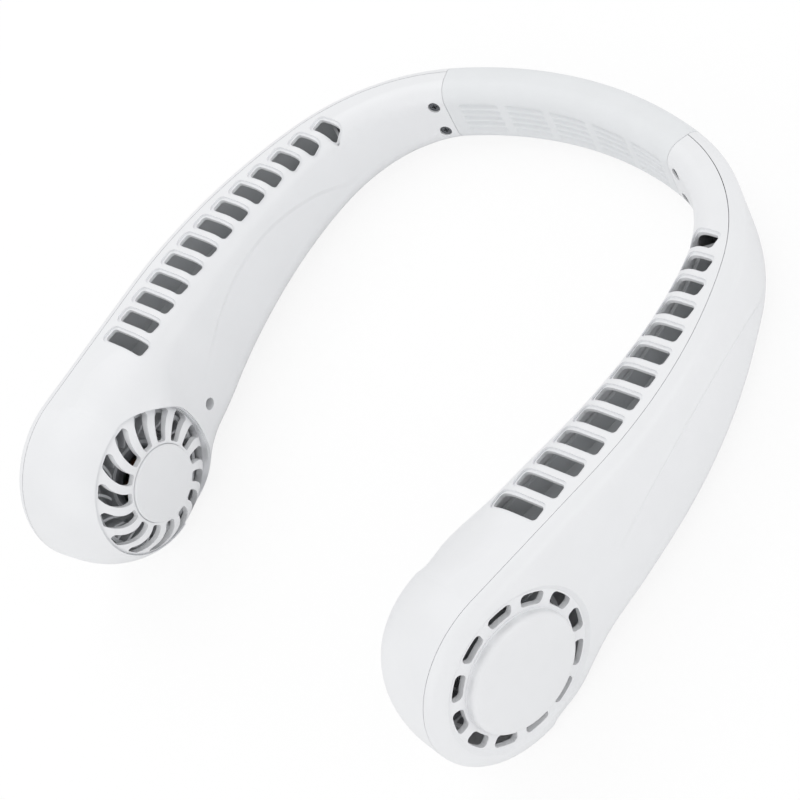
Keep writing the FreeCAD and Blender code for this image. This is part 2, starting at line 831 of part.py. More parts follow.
def arm_wire():
    """Cable inside an arm, from the bridge cable to the battery."""
    last = ARM_RUN - (S.plug_length + S.wire_gap) * S.shoulder_bend / (S.shoulder_bend - S.wire_depth)
    half = S.battery_length / 2 + S.wire_gap
    first = S.battery_run + half * S.arm_bend / (S.arm_bend - S.wire_depth)
    shift = V(0, 0, -S.wire_drop)
    edges = plan_edges(S.wire_depth, first, last)
    path = Part.Wire(Part.__sortEdges__(edges))
    path.translate(shift)
    start = path.Edges[0]
    tangent = start.tangentAt(start.FirstParameter)
    ring = Part.Wire(Part.makeCircle(S.wire_radius, start.valueAt(start.FirstParameter), tangent))
    return path.makePipeShell([ring], True, False)


# Blower

def from_grille(lift):
    """Depth in the fan frame of a height above the inside of the grille hub."""
    return GRILLE_FACE - S.wall - lift


CAN_END = from_grille(S.base_plate + S.post_length + S.can_gap + S.can_wall)
CAN_OUTER = S.stator_outer + S.air_gap + S.magnet_wall + S.can_wall


def motor_base():
    """Base plate with the post that holds the bearing bush."""
    plate = rod(S.base_radius, from_grille(S.base_plate), from_grille(0), FAN)
    post = rod(S.post_outer, from_grille(S.base_plate + S.post_length), from_grille(0), FAN)
    bore = rod(S.bush_outer, from_grille(S.base_plate + S.post_length), from_grille(S.base_plate), FAN)
    return plate.fuse(post).cut(bore)


def stator_ends():
    """Depths of the two ends of the stator."""
    near = from_grille(S.base_plate + S.stator_lift + S.stator_length)
    return near, near + S.stator_length


def turned_frame(index, count):
    """Fan frame turned to one of several equal places round the axis."""
    turn = FreeCAD.Rotation(V(0, 0, 1), index * 360 / count)
    return FAN.multiply(FreeCAD.Placement(V(0, 0, 0), turn))


def motor_stator():
    """Core of the motor with its teeth."""
    near, far = stator_ends()
    core = rod(S.stator_core, near, far, FAN)
    rim = rod(S.stator_outer, near, far, FAN)
    inside = S.stator_outer - S.tooth_head
    teeth = []
    for index in range(int(S.tooth_count)):
        frame = turned_frame(index, S.tooth_count)
        length = S.stator_outer
        stem = Part.makeBox(length, S.tooth_width, S.stator_length, V(0, -S.tooth_width / 2, near))
        head = Part.makeBox(
            length - inside, S.tooth_head_width, S.stator_length, V(inside, -S.tooth_head_width / 2, near))
        teeth += [seated(stem, frame), seated(head, frame)]
    whole = core.multiFuse([tooth.common(rim) for tooth in teeth])
    return whole.cut(rod(S.post_outer, near, far, FAN))


def motor_windings():
    """Copper windings, one round each tooth."""
    near, far = stator_ends()
    coils = []
    first = S.stator_core + S.winding_gap
    last = S.stator_outer - S.tooth_head - S.winding_gap
    for index in range(int(S.tooth_count)):
        frame = turned_frame(index, S.tooth_count)
        wide = S.tooth_width + 2 * S.winding_build
        gap = S.tooth_width + 2 * S.winding_gap
        coil = Part.makeBox(
            last - first, wide, S.stator_length + 2 * S.winding_build,
            V(first, -wide / 2, near - S.winding_build))
        hole = Part.makeBox(
            last - first, gap, S.stator_length + 2 * S.winding_gap, V(first, -gap / 2, near - S.winding_gap))
        coils.append(seated(coil.cut(hole), frame))
    return Part.makeCompound(coils)


def blade(index, near):
    """One curved blade of the impeller."""
    pitch = 360 / S.blade_count
    start = index * pitch
    middle = (S.blade_inner + S.impeller_radius) / 2
    part_in = math.degrees(S.blade_wall / S.blade_inner)
    part_out = math.degrees(S.blade_wall / S.impeller_radius)
    bow = math.degrees(S.blade_bow / middle)

    def side(first, last):
        return polar(S.blade_inner, first), polar(middle, (first + last) / 2 + bow), polar(S.impeller_radius, last)

    one = side(start, start + S.blade_sweep)
    two = side(start + part_in, start + S.blade_sweep + part_out)
    edges = [arc_edge(*one), line(one[2], two[2]), arc_edge(*two), line(two[0], one[0])]
    solid = Part.Face(Part.Wire(Part.__sortEdges__(edges))).extrude(V(0, 0, S.impeller_length))
    solid.translate(V(0, 0, near))
    return seated(solid, FAN)


def impeller():
    """Blower wheel with blades on both sides of its web, carried by the motor's can."""
    near = CAN_END - S.hub_wall
    cup = rod(CAN_OUTER + S.hub_wall, near, near + S.hub_length, FAN)
    bore = rod(CAN_OUTER, CAN_END, near + S.hub_length + S.overrun, FAN)
    web_near = near + S.web_lift
    web = rod(S.impeller_radius, web_near, web_near + S.web_plate, FAN).cut(
        rod(CAN_OUTER, web_near, web_near + S.web_plate, FAN))
    first = web_near + S.web_plate / 2 - S.impeller_length / 2
    last = first + S.impeller_length
    ring_inner = S.impeller_radius - S.impeller_ring
    rings = [
        rod(S.impeller_radius, low, low + S.impeller_ring, FAN).cut(
            rod(ring_inner, low, low + S.impeller_ring, FAN))
        for low in (first, last - S.impeller_ring)
    ]
    blades = [blade(index, first) for index in range(int(S.blade_count))]
    return cup.cut(bore).multiFuse([web] + rings + blades)


# Controls of the left arm, worked out on the +X side

def charging_socket():
    """Metal shell of the socket with its contact tongue."""
    shell = socket_block(0, 0, S.socket_length)
    mouth = socket_block(-S.socket_wall, -S.overrun, S.socket_length - S.socket_wall)
    middle = S.control_depth + S.control_plate + S.socket_thick / 2
    tongue = Part.makeBox(
        S.tongue_length, S.tongue_width, S.tongue_thick,
        V(S.socket_length - S.socket_wall - S.tongue_length, -S.tongue_width / 2, middle - S.tongue_thick / 2))
    return shell.cut(mouth).fuse(seated(tongue, socket_frame()))


def push_switch():
    """Switch on the control board behind the button."""
    frame = control_frame(-S.button_drop)
    top = S.wall + S.button_fit + S.button_flange_plate + S.button_travel + S.button_rest_gap
    body_top = S.control_depth - S.switch_body
    body = slab(S.switch_side, S.switch_side, body_top, S.control_depth, frame)
    return body.fuse(rod(S.plunger_radius, top, S.control_depth, frame))


def indicator_lenses():
    """Clear light pipes from the control board to the outer face."""
    face = crease_at(S.control_run, S.outer_crease_top, -S.end_radius)[1]
    return Part.makeCompound([
        rod(S.lens_radius, face, S.control_depth - S.button_fit, lens) for lens in lens_frames()
    ])


# Stance on the surface

def mirrored(shape):
    """The same piece on the -X side."""
    return shape.mirror(V(0, 0, 0), V(1, 0, 0))


def stance(shapes):
    """Placement that sets the object down on its two fan ends and the lower edge of the bridge."""
    fan_y = (S.fan_depth - S.fan_roll_in) * math.sin(math.radians(S.toe_in))
    bridge_y = BRIDGE_CENTRE + BRIDGE_BEND - S.edge_round
    reach = bridge_y - fan_y
    rise = S.bridge_height - S.edge_round - S.end_radius
    tilt = math.asin((S.end_radius - S.edge_round) / math.hypot(reach, rise)) - math.atan2(rise, reach)
    turn = FreeCAD.Rotation(V(1, 0, 0), -math.degrees(tilt))
    whole = Part.makeCompound([shape.copy() for shape in shapes])
    whole.Placement = FreeCAD.Placement(V(0, 0, 0), turn)
    box = whole.optimalBoundingBox(False, False)
    return FreeCAD.Placement(V(0, -box.Center.y, -box.ZMin), turn)


BODY, HOLLOW = arm_blanks()
PLAIN_SHELL = inner_shell(BODY, HOLLOW)
SHELLS = {
    "right": (PLAIN_SHELL, outer_cover(BODY, HOLLOW, False)),
    "left": (PLAIN_SHELL.cut(socket_opening()), outer_cover(BODY, HOLLOW, True)),
}
SLEEVE = bridge_sleeve()
STANCE = stance([*SHELLS["right"], SLEEVE])


# Objects of the document

NODES = []


def add_node(name, obj):
    """Name an object as a sub-part of the neck fan."""
    obj.Label = name
    NODES.append(obj)
    return obj


def add_shape(name, shape):
    """Sub-part whose shape is worked out above."""
    obj = doc.addObject("Part::Feature", name)
    obj.Shape = shape
    obj.Placement = STANCE.multiply(obj.Placement)
    return add_node(name, obj)


def side_frame(side, frame):
    """Frame of the +X side, or its twin on the -X side with local z still inwards and local x up."""
    if side == "right":
        return STANCE.multiply(frame)
    inward = frame.Rotation.multVec(V(0, 0, 1))
    inward.x = -inward.x
    base = V(-frame.Base.x, frame.Base.y, frame.Base.z)
    turn = FreeCAD.Rotation(V(0, 0, 1), V(), inward, "ZXY")
    return STANCE.multiply(FreeCAD.Placement(base, turn))


def shifted(frame, x, y, z):
    """Frame moved along its own axes."""
    return frame.multiply(FreeCAD.Placement(V(x, y, z), FreeCAD.Rotation()))


def cylinder(name, radius, height, place):
    """Round primitive bound to the sheet."""
    obj = doc.addObject("Part::Cylinder", name)
    obj.setExpression("Radius", radius)
    obj.setExpression("Height", height)
    obj.Placement = place
    return obj


def tube(name, outer, inner, height, place):
    """Tube bound to the sheet."""
    cut = doc.addObject("Part::Cut", name)
    cut.Base = cylinder(name + "_outside", outer, height, place)
    cut.Tool = cylinder(name + "_bore", inner, height, place)
    return cut


def block(name, up, run_length, depth, place):
    """Box bound to the sheet, with its corner at a place."""
    obj = doc.addObject("Part::Box", name)
    obj.setExpression("Length", up)
    obj.setExpression("Width", run_length)
    obj.setExpression("Height", depth)
    obj.Placement = place
    return obj


def softened(kind, name, base, radius, wanted):
    """Fillet or chamfer of the wanted edges of an object."""
    doc.recompute()
    obj = doc.addObject(kind, name)
    obj.Base = base
    obj.Edges = [
        (index, radius, radius) for index, edge in enumerate(base.Shape.Edges, start=1) if wanted(edge)
    ]
    return obj


def rim_at(place, depth):
    """Test for a round edge whose centre lies at a depth of a placement."""
    centre = place.multVec(V(0, 0, depth))

    def wanted(edge):
        return isinstance(edge.Curve, Part.Circle) and edge.Curve.Center.distanceToPoint(centre) < S.top_skim

    return wanted


def rotor_can(side, frame):
    """Cup that carries the magnets and is pressed on the shaft."""
    outer = "Sizes.stator_outer + Sizes.air_gap + Sizes.magnet_wall + Sizes.can_wall"
    inner = "Sizes.stator_outer + Sizes.air_gap + Sizes.magnet_wall"
    place = shifted(frame, 0, 0, CAN_END)
    cup = doc.addObject("Part::Cut", f"{side}_cup")
    cup.Base = cylinder(f"{side}_cup_outside", outer, "Sizes.can_length", place)
    inside = shifted(place, 0, 0, S.can_wall)
    cup.Tool = cylinder(f"{side}_cup_inside", inner, "Sizes.can_length", inside)
    can = doc.addObject("Part::Cut", f"{side}_rotor_can")
    can.Base = cup
    can.Tool = cylinder(f"{side}_cup_bore", "Sizes.shaft_radius", "Sizes.can_length", place)
    return can


def fan_nodes(side):
    """Turned pieces of one blower."""
    frame = side_frame(side, FAN)

    def at(depth):
        return shifted(frame, 0, 0, depth)

    shaft = cylinder(
        f"{side}_motor_shaft", "Sizes.shaft_radius", "Sizes.can_wall + Sizes.post_length", at(CAN_END))
    bush = tube(
        f"{side}_bearing_bush", "Sizes.bush_outer", "Sizes.shaft_radius + Sizes.shaft_fit",
        "Sizes.bush_length", at(from_grille(S.base_plate + S.post_length)))
    stator_middle = sum(stator_ends()) / 2
    magnet = tube(
        f"{side}_rotor_magnet", "Sizes.stator_outer + Sizes.air_gap + Sizes.magnet_wall",
        "Sizes.stator_outer + Sizes.air_gap", "Sizes.magnet_length", at(stator_middle - S.magnet_length / 2))
    board = tube(
        f"{side}_motor_board", "Sizes.board_radius", "Sizes.post_outer + Sizes.board_clearance",
        "Sizes.board_plate", at(from_grille(S.base_plate + S.board_plate)))
    cap_place = at(-S.cap_proud)
    cap_blank = cylinder(
        f"{side}_cap_blank", "Sizes.cap_radius", "Sizes.cap_seat + Sizes.cap_proud", cap_place)
    cap = softened("Part::Fillet", f"{side}_intake_cap", cap_blank, S.cap_round, rim_at(cap_place, 0))
    hub_place = at(GRILLE_FACE - S.grille_cap_seat)
    hub_length = S.grille_cap_seat + S.grille_cap_proud
    hub_blank = cylinder(
        f"{side}_hub_blank", "Sizes.grille_cap_radius", "Sizes.grille_cap_seat + Sizes.grille_cap_proud",
        hub_place)
    hub = softened(
        "Part::Chamfer", f"{side}_grille_cap", hub_blank, S.grille_cap_chamfer, rim_at(hub_place, hub_length))
    for obj in (shaft, bush, magnet, board, cap, hub, rotor_can(side, frame)):
        add_node(obj.Name, obj)


def battery_node(side):
    """Wrapped cell under the air duct, in line with the cable."""
    near = S.wire_depth - S.wire_radius
    top = -S.duct_floor - S.duct_wall
    frame = side_frame(side, frame_at(S.battery_run, top))
    corner = shifted(frame, -S.battery_height, -S.battery_length / 2, near)
    blank = block(
        f"{side}_battery_blank", "Sizes.battery_height", "Sizes.battery_length", "Sizes.battery_depth", corner)
    add_node(
        f"{side}_battery",
        softened("Part::Fillet", f"{side}_battery", blank, S.battery_round, lambda edge: True))


def power_button():
    """Push button with the flange that keeps it in the cover."""
    frame = side_frame("left", control_frame(-S.button_drop))
    front = shifted(frame, 0, 0, -S.button_proud)
    button = doc.addObject("Part::Fuse", "button_blank")
    button.Base = cylinder(
        "button_face", "Sizes.button_radius", "Sizes.button_proud + Sizes.wall + Sizes.button_fit", front)
    button.Tool = cylinder(
        "button_flange", "Sizes.button_flange", "Sizes.button_flange_plate",
        shifted(frame, 0, 0, S.wall + S.button_fit))
    return softened("Part::Fillet", "power_button", button, S.button_round, rim_at(front, 0))


def control_nodes():
    """Controls of the left arm."""
    add_node("power_button", power_button())
    frame = side_frame("left", control_frame(-S.control_drop, S.control_shift))
    corner = shifted(frame, -S.control_height / 2, -S.control_length / 2, S.control_depth)
    add_node("control_board", block(
        "control_board", "Sizes.control_height", "Sizes.control_length", "Sizes.control_plate", corner))
    add_shape("push_switch", mirrored(push_switch()))
    add_shape("indicator_lenses", mirrored(indicator_lenses()))
    add_shape("charging_socket", mirrored(charging_socket()))


def arm_nodes(side):
    """All the pieces of one arm."""
    shell, cover = SHELLS[side]
    pieces = {
        "inner_shell": shell, "outer_cover": cover, "impeller": impeller(), "motor_base": motor_base(),
        "motor_stator": motor_stator(), "motor_windings": motor_windings(), "air_duct": air_duct(),
        "arm_screws": arm_screws(), "bridge_plug": bridge_plug(), "arm_wire": arm_wire(),
    }
    for name, shape in pieces.items():
        add_shape(f"{side}_{name}", shape if side == "right" else mirrored(shape))
    fan_nodes(side)
    battery_node(side)


def bridge_nodes():
    """The soft bridge and what runs through it."""
    add_shape("bridge_sleeve", SLEEVE)
    add_shape("spring_strip", strip_solid(0))
    add_shape("bridge_cable", bridge_wire(0, S.plug_length))


def show_axis(name, point, direction):
    """Print a joint's place and axis in the finished frame."""
    place = STANCE.multVec(point)
    axis = STANCE.Rotation.multVec(direction)
    print(name, [round(v, 3) for v in place], [round(v, 6) for v in axis])


def show_axes():
    """Print the axes that the joints turn or slide on."""
    inward = FAN.Rotation.multVec(V(0, 0, 1))
    show_axis("right_fan", FAN.Base, V(-inward.x, -inward.y, 0))
    show_axis("left_fan", V(-FAN.Base.x, FAN.Base.y, FAN.Base.z), V(inward.x, -inward.y, 0))
    middle = BRIDGE_BEND - S.bridge_depth / 2
    angle = math.radians(S.flex_angle)
    for name, sign in (("right_flex", 1), ("left_flex", -1)):
        point = V(sign * middle * math.sin(angle), BRIDGE_CENTRE + middle * math.cos(angle), 0)
        show_axis(name, point, V(0, 0, 1))
    button = control_frame(-S.button_drop)
    push = button.Rotation.multVec(V(0, 0, 1))
    show_axis("button", V(-button.Base.x, button.Base.y, button.Base.z), V(-push.x, push.y, 0))
    strip_middle = (S.edge_round + S.fan_depth - S.fan_roll_in) / 2
    show_axis("top_strip", plan_point(S.flare_start, strip_middle, -S.top_skim), V(0, 0, 1))


def write_parts():
    """Check every object, then write one file for each sub-part."""
    doc.recompute()
    for obj in doc.Objects:
        if "Invalid" in obj.State or "Error" in obj.State:
            raise RuntimeError(f"{obj.Name} failed: {obj.State}")
    for obj in NODES:
        if obj.Shape.isNull() or not obj.Shape.isValid() or not obj.Shape.Volume > 0:
            raise RuntimeError(f"{obj.Label} has no valid shape")
    os.makedirs("parts", exist_ok=True)
    for obj in NODES:
        obj.Shape.exportStep(f"parts/{obj.Label}.step")
        print(obj.Label, len(obj.Shape.Solids), round(obj.Shape.Volume, 1))


for side in SHELLS:
    arm_nodes(side)
bridge_nodes()
control_nodes()
show_axes()
write_parts()
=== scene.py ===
"""Looks of the bladeless neck fan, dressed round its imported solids."""
import logging
import math
from dataclasses import dataclass
from enum import Enum
from typing import Any

import bmesh
import bpy
from mathutils import Matrix, Vector


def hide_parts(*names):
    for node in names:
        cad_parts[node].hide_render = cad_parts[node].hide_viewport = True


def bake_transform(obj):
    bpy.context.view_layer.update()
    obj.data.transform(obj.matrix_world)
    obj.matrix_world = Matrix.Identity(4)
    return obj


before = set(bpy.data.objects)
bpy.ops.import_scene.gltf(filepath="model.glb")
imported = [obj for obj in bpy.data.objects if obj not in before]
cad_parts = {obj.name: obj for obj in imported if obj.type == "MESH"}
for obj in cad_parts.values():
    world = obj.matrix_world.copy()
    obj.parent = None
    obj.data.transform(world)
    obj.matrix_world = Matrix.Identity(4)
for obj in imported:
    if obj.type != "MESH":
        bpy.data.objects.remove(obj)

LOG = logging.getLogger("neck_fan")
MM = 0.001
WHITE = (1.0, 1.0, 1.0, 1.0)
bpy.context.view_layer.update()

# Broad clouds that shift the colour and the gloss of every surface a little
CLOUD_MM = 14.0
CLOUD_DETAIL = 3.0
CLOUD_GRAIN = 0.6
CLOUD_SHADE_AT = 0.3
CLOUD_COLOUR_AT = 0.7

# Fine patterns: radians that the wave texture turns through in one unit of its scale, its waver,
# the octaves of the noise and the share of the pattern's height that the shading takes
WAVE_PHASE = 20.0
WAVE_WAVER = 0.4
WAVE_DETAIL = 2.0
SPARK_DETAIL = 5.0
PEEL_DETAIL = 2.0
NOISE_GRAIN = 0.55
BUMP_STRENGTH = 0.35


class Side(Enum):
    """The two arms of the fan, with the sign of their X side."""

    LEFT = -1
    RIGHT = 1

    @property
    def word(self) -> str:
        """Prefix of the arm's nodes and bodies."""
        return self.name.lower()


class Pattern(Enum):
    """Fine surface patterns that a finish can carry."""

    ORANGE_PEEL = "orange peel of a moulded skin"
    FINE_SPARK = "fine spark-eroded mould texture"
    TURNED = "lines of a rolled, turned or ground surface"
    WOUND = "turns of enamelled wire"


# Colour and nodes

def linear_from_hex(code: str) -> tuple[float, float, float, float]:
    """Turn an sRGB hex colour into linear light.

    Args:
        code: six hex digits after a hash sign.

    Returns:
        Linear red, green, blue and an alpha of 1.
    """
    channels = [int(code[i:i + 2], 16) / 255 for i in (1, 3, 5)]
    linear = [c / 12.92 if c <= 0.04045 else ((c + 0.055) / 1.055) ** 2.4 for c in channels]
    return linear[0], linear[1], linear[2], 1.0


def add_node(tree: bpy.types.NodeTree, kind: str, settings: dict[str, Any] | None = None,
             links: dict[str | int, bpy.types.NodeSocket] | None = None) -> bpy.types.Node:
    """Add one node with its settings and incoming links.

    Args:
        tree: node tree of a material or of the world.
        kind: Blender's name of the node type.
        settings: attribute names, or input names after "in:", with their values.
        links: input names or numbers with the sockets that feed them.

    Returns:
        The new node.
    """
    node = tree.nodes.new(kind)
    for key, value in (settings or {}).items():
        if key.startswith("in:"):
            node.inputs[key[3:]].default_value = value
        else:
            setattr(node, key, value)
    for key, socket in (links or {}).items():
        tree.links.new(socket, node.inputs[key])
    return node


@dataclass(frozen=True)
class Finish:
    """A real material with the way its surface was made.

    The pattern size is the spacing in millimetres, and the bump is its height in millimetres. Spark-eroded
    grain is about 0.1 mm in life: it is drawn coarser, so that it doesn't turn into noise in the picture.
    """

    name: str
    colour: str
    shade: str
    roughness: float
    roughness_swing: float
    pattern: Pattern
    pattern_mm: float
    bump_mm: float
    ior: float = 1.5
    metallic: float = 0.0
    transmission: float = 0.0

    def pattern_height(self, tree: bpy.types.NodeTree, place: bpy.types.NodeSocket) -> bpy.types.NodeSocket:
        """Build the fine pattern of the surface.

        Args:
            tree: the material's node tree.
            place: object coordinates in metres.

        Returns:
            Height of the pattern from 0 to 1.
        """
        scale = 1 / (self.pattern_mm * MM)
        if self.pattern in (Pattern.TURNED, Pattern.WOUND):
            wave = add_node(tree, "ShaderNodeTexWave", {
                "bands_direction": "X" if self.pattern is Pattern.TURNED else "DIAGONAL",
                "in:Scale": scale * math.tau / WAVE_PHASE, "in:Distortion": WAVE_WAVER,
                "in:Detail": WAVE_DETAIL}, {"Vector": place})
            return wave.outputs["Fac"]
        detail = SPARK_DETAIL if self.pattern is Pattern.FINE_SPARK else PEEL_DETAIL
        noise = add_node(tree, "ShaderNodeTexNoise", {
            "in:Scale": scale, "in:Detail": detail, "in:Roughness": NOISE_GRAIN}, {"Vector": place})
        return noise.outputs["Fac"]

    def build(self) -> bpy.types.Material:
        """Make the material.

        Returns:
            A material with colour variation, uneven gloss and its fine pattern.
        """
        material = bpy.data.materials.new(self.name)
        material.use_nodes = True
        tree = material.node_tree
        shader = tree.nodes["Principled BSDF"]
        place = add_node(tree, "ShaderNodeTexCoord").outputs["Object"]
        clouds = add_node(tree, "ShaderNodeTexNoise", {
            "in:Scale": 1 / (CLOUD_MM * MM), "in:Detail": CLOUD_DETAIL,
            "in:Roughness": CLOUD_GRAIN}, {"Vector": place})
        ramp = add_node(tree, "ShaderNodeValToRGB", links={"Fac": clouds.outputs["Fac"]})
        dark, light = ramp.color_ramp.elements
        dark.position, dark.color = CLOUD_SHADE_AT, linear_from_hex(self.shade)
        light.position, light.color = CLOUD_COLOUR_AT, linear_from_hex(self.colour)
        tree.links.new(ramp.outputs["Color"], shader.inputs["Base Color"])
        gloss = add_node(tree, "ShaderNodeMapRange", {
            "in:To Min": self.roughness - self.roughness_swing,
            "in:To Max": self.roughness + self.roughness_swing}, {"Value": clouds.outputs["Fac"]})
        tree.links.new(gloss.outputs["Result"], shader.inputs["Roughness"])
        bump = add_node(tree, "ShaderNodeBump", {
            "in:Strength": BUMP_STRENGTH, "in:Distance": self.bump_mm * MM},
            {"Height": self.pattern_height(tree, place)})
        tree.links.new(bump.outputs["Normal"], shader.inputs["Normal"])
        shader.inputs["Metallic"].default_value = self.metallic
        if not self.metallic:
            shader.inputs["IOR"].default_value = self.ior
        shader.inputs["Transmission Weight"].default_value = self.transmission
        return material


class Finishes(Enum):
    """Every finish of the fan, named for its real material; the air ducts' grey is partly painted shade."""

    # Injection-moulded ABS from a polished mould: an even white with a soft, slightly wavy gloss
    WHITE_ABS = Finish("moulded_white_abs", "#f1f2f4", "#eff0f2", 0.36, 0.03, Pattern.ORANGE_PEEL, 1.6, 0.012)
    # The same ABS on the loose discs, moulded flat and a touch glossier
    DISC_ABS = Finish("moulded_disc_abs", "#eff0f2", "#edeef0", 0.30, 0.03, Pattern.ORANGE_PEEL, 1.2, 0.010)
    # Moulded silicone rubber over the bridge: matt, with the fine grain of a spark-eroded mould
    SILICONE = Finish("moulded_silicone_rubber", "#eceef0", "#e9ebed", 0.52, 0.05,
                      Pattern.FINE_SPARK, 0.5, 0.02, ior=1.41)
    # Grey ABS of the air ducts, seen through the slots: dull and even. Its grey is partly painted shade,
    # darker than the white shells to stand for the shade deep inside the slots
    DUCT_GREY_PAINTED_SHADE = Finish("moulded_duct_abs_painted_shade_grey", "#d2d4d6", "#caccce", 0.5, 0.06, Pattern.FINE_SPARK, 0.6, 0.02)
    # Glass-filled nylon of the blower wheels: grey, with a faintly streaky sheen
    WHEEL_NYLON = Finish("moulded_glass_filled_nylon", "#cacccf", "#c0c2c5", 0.45, 0.08,
                         Pattern.FINE_SPARK, 0.5, 0.03)
    # Unpainted nylon of motor bases, plugs and switch
    GREY_NYLON = Finish("moulded_grey_nylon", "#a3a6aa", "#999ca0", 0.5, 0.05, Pattern.FINE_SPARK, 0.6, 0.02)
    # Rolled electrical and spring steel: grey metal with a soft grain
    ROLLED_STEEL = Finish("rolled_steel", "#a9abae", "#8f9194", 0.34, 0.08,
                          Pattern.TURNED, 0.4, 0.01, metallic=1.0)
    # Ground steel and nickel plate: brighter and smoother
    GROUND_STEEL = Finish("ground_steel", "#c9cbce", "#b7b9bc", 0.2, 0.05,
                          Pattern.TURNED, 0.3, 0.005, metallic=1.0)
    # Black-oxide screws: dark metal with a soft shine
    BLACK_OXIDE = Finish("black_oxide_steel", "#77797d", "#606266", 0.38, 0.08,
                         Pattern.TURNED, 0.3, 0.01, metallic=1.0)
    # Sintered ferrite ring: near black and dull
    FERRITE = Finish("sintered_ferrite", "#2c2c2e", "#222224", 0.6, 0.06, Pattern.FINE_SPARK, 0.3, 0.02)
    # Enamelled copper wire: warm brown metal in fine turns
    COPPER_WIRE = Finish("enamelled_copper_wire", "#8a5a3a", "#6f4429", 0.3, 0.08,
                         Pattern.WOUND, 0.35, 0.08, metallic=1.0)
    # Oil-filled sintered bronze of the bearing bushes
    BRONZE = Finish("sintered_bronze", "#b08a55", "#8f6c3f", 0.42, 0.08,
                    Pattern.FINE_SPARK, 0.25, 0.02, metallic=1.0)
    # Glass-epoxy circuit board under green solder resist
    CIRCUIT_BOARD = Finish("solder_resist_board", "#1f6b3c", "#185a31", 0.35, 0.06,
                           Pattern.FINE_SPARK, 0.5, 0.01)
    # Heat-shrunk PVC round the cells: blue, tight and shiny
    SHRINK_WRAP = Finish("heat_shrunk_pvc", "#2d5fa8", "#264f8c", 0.25, 0.06, Pattern.ORANGE_PEEL, 2.5, 0.05)
    # Extruded PVC cable jacket: black with a dull skin
    CABLE_PVC = Finish("cable_pvc", "#2a2a2c", "#232325", 0.5, 0.06, Pattern.FINE_SPARK, 0.4, 0.02)
    # Polished polycarbonate light pipes: clear with a slight haze
    CLEAR_PC = Finish("polished_polycarbonate", "#f4f8ff", "#eef3fb", 0.12, 0.04,
                      Pattern.ORANGE_PEEL, 0.8, 0.004, ior=1.585, transmission=0.8)


class Wardrobe:
    """Builds each finish once and puts it on nodes and pieces."""

    def __init__(self) -> None:
        """Start with no material made."""
        self.made: dict[Finishes, bpy.types.Material] = {}

    def material(self, finish: Finishes) -> bpy.types.Material:
        """Return the material of a finish, making it the first time."""
        if finish not in self.made:
            self.made[finish] = finish.value.build()
        return self.made[finish]

    def dress(self, obj: bpy.types.Object, finish: Finishes) -> None:
        """Give an object one finish.

        Args:
            obj: a CAD node's object or a new piece.
            finish: what it is made of.
        """
        obj.data.materials.clear()
        obj.data.materials.append(self.material(finish))
        LOG.info("%s: %s", obj.name, finish.value.name)


# Where the fan stands

@dataclass(frozen=True)
class Stance:
    """The fan's own level frame, set down on its blowers and the lower edge of its bridge."""

    tilt_deg: float = 12.769
    shift_y_mm: float = -65.430
    shift_z_mm: float = 59.562

    def matrix(self) -> Matrix:
        """Return the transform from the level frame to the standing one, in metres."""
        move = Matrix.Translation((0, self.shift_y_mm * MM, self.shift_z_mm * MM))
        return move @ Matrix.Rotation(math.radians(-self.tilt_deg), 4, "X")

    def place(self, x: float, y: float, z: float) -> Vector:
        """Return a point of the level frame, given in millimetres, where it stands."""
        return self.matrix() @ Vector((x * MM, y * MM, z * MM))


def smooth_step(low: float, high: float, value: float) -> float:
    """Return a smooth 0 to 1 step between two values."""
    share = min(max((value - low) / (high - low), 0.0), 1.0)
    return share * share * (3 - 2 * share)


def new_piece(name: str, mesh: bpy.types.Mesh) -> bpy.types.Object:
    """Link a new mesh object into the scene.

    Args:
        name: name of the piece.
        mesh: its finished mesh.

    Returns:
        The linked object.
    """
    piece = bpy.data.objects.new(name, mesh)
    bpy.context.scene.collection.objects.link(piece)
    return piece


